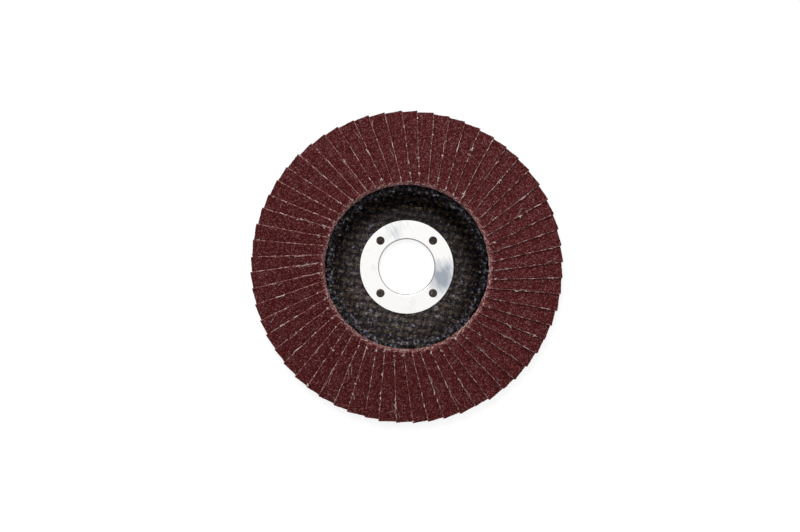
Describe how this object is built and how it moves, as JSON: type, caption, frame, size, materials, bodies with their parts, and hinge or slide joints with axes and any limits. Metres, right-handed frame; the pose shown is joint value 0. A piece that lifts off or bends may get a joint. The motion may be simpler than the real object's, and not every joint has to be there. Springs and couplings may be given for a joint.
{
  "type": "flap disc",
  "caption": "Round abrasive flap disc for an angle grinder: a depressed backing plate with a metal-lined bore and a fan of overlapping abrasive cloth flaps on a conical face.",
  "frame": {"origin": "centre of the bore on the back face of the hub, which is the face the disc rests on", "axes": "+Z along the bore towards the abrasive side; +Y halfway between two of the ring's four keying holes; flaps step down clockwise seen from +Z"},
  "size_m": [0.1248, 0.1248, 0.0133],
  "materials": {
    "glass_cloth_laminate": "matte",
    "plated_steel": "satin",
    "epoxy": "satin",
    "abrasive_cloth": "matte"
  },
  "bodies": {
    "root": {"backing_plate": "glass_cloth_laminate", "centre_ring": "plated_steel", "adhesive_bed": "epoxy", "flaps_01_02": "abrasive_cloth", "flaps_03_04": "abrasive_cloth", "flaps_05_06": "abrasive_cloth", "flaps_07_08": "abrasive_cloth", "flaps_09_10": "abrasive_cloth", "flaps_11_12": "abrasive_cloth", "flaps_13_14": "abrasive_cloth", "flaps_15_16": "abrasive_cloth", "flaps_17_18": "abrasive_cloth", "flaps_19_20": "abrasive_cloth", "flaps_21_22": "abrasive_cloth", "flaps_23_24": "abrasive_cloth", "flaps_25_26": "abrasive_cloth", "flaps_27_28": "abrasive_cloth", "flaps_29_30": "abrasive_cloth", "flaps_31_32": "abrasive_cloth", "flaps_33_34": "abrasive_cloth", "flaps_35_36": "abrasive_cloth", "flaps_37_38": "abrasive_cloth", "flaps_39_40": "abrasive_cloth", "flaps_41_42": "abrasive_cloth", "flaps_43_44": "abrasive_cloth", "flaps_45_46": "abrasive_cloth", "flaps_47_48": "abrasive_cloth", "flaps_49_50": "abrasive_cloth", "flaps_51_52": "abrasive_cloth", "flaps_53_54": "abrasive_cloth", "flaps_55_56": "abrasive_cloth", "flaps_57_58": "abrasive_cloth", "flaps_59_60": "abrasive_cloth"}
  },
  "joints": []
}
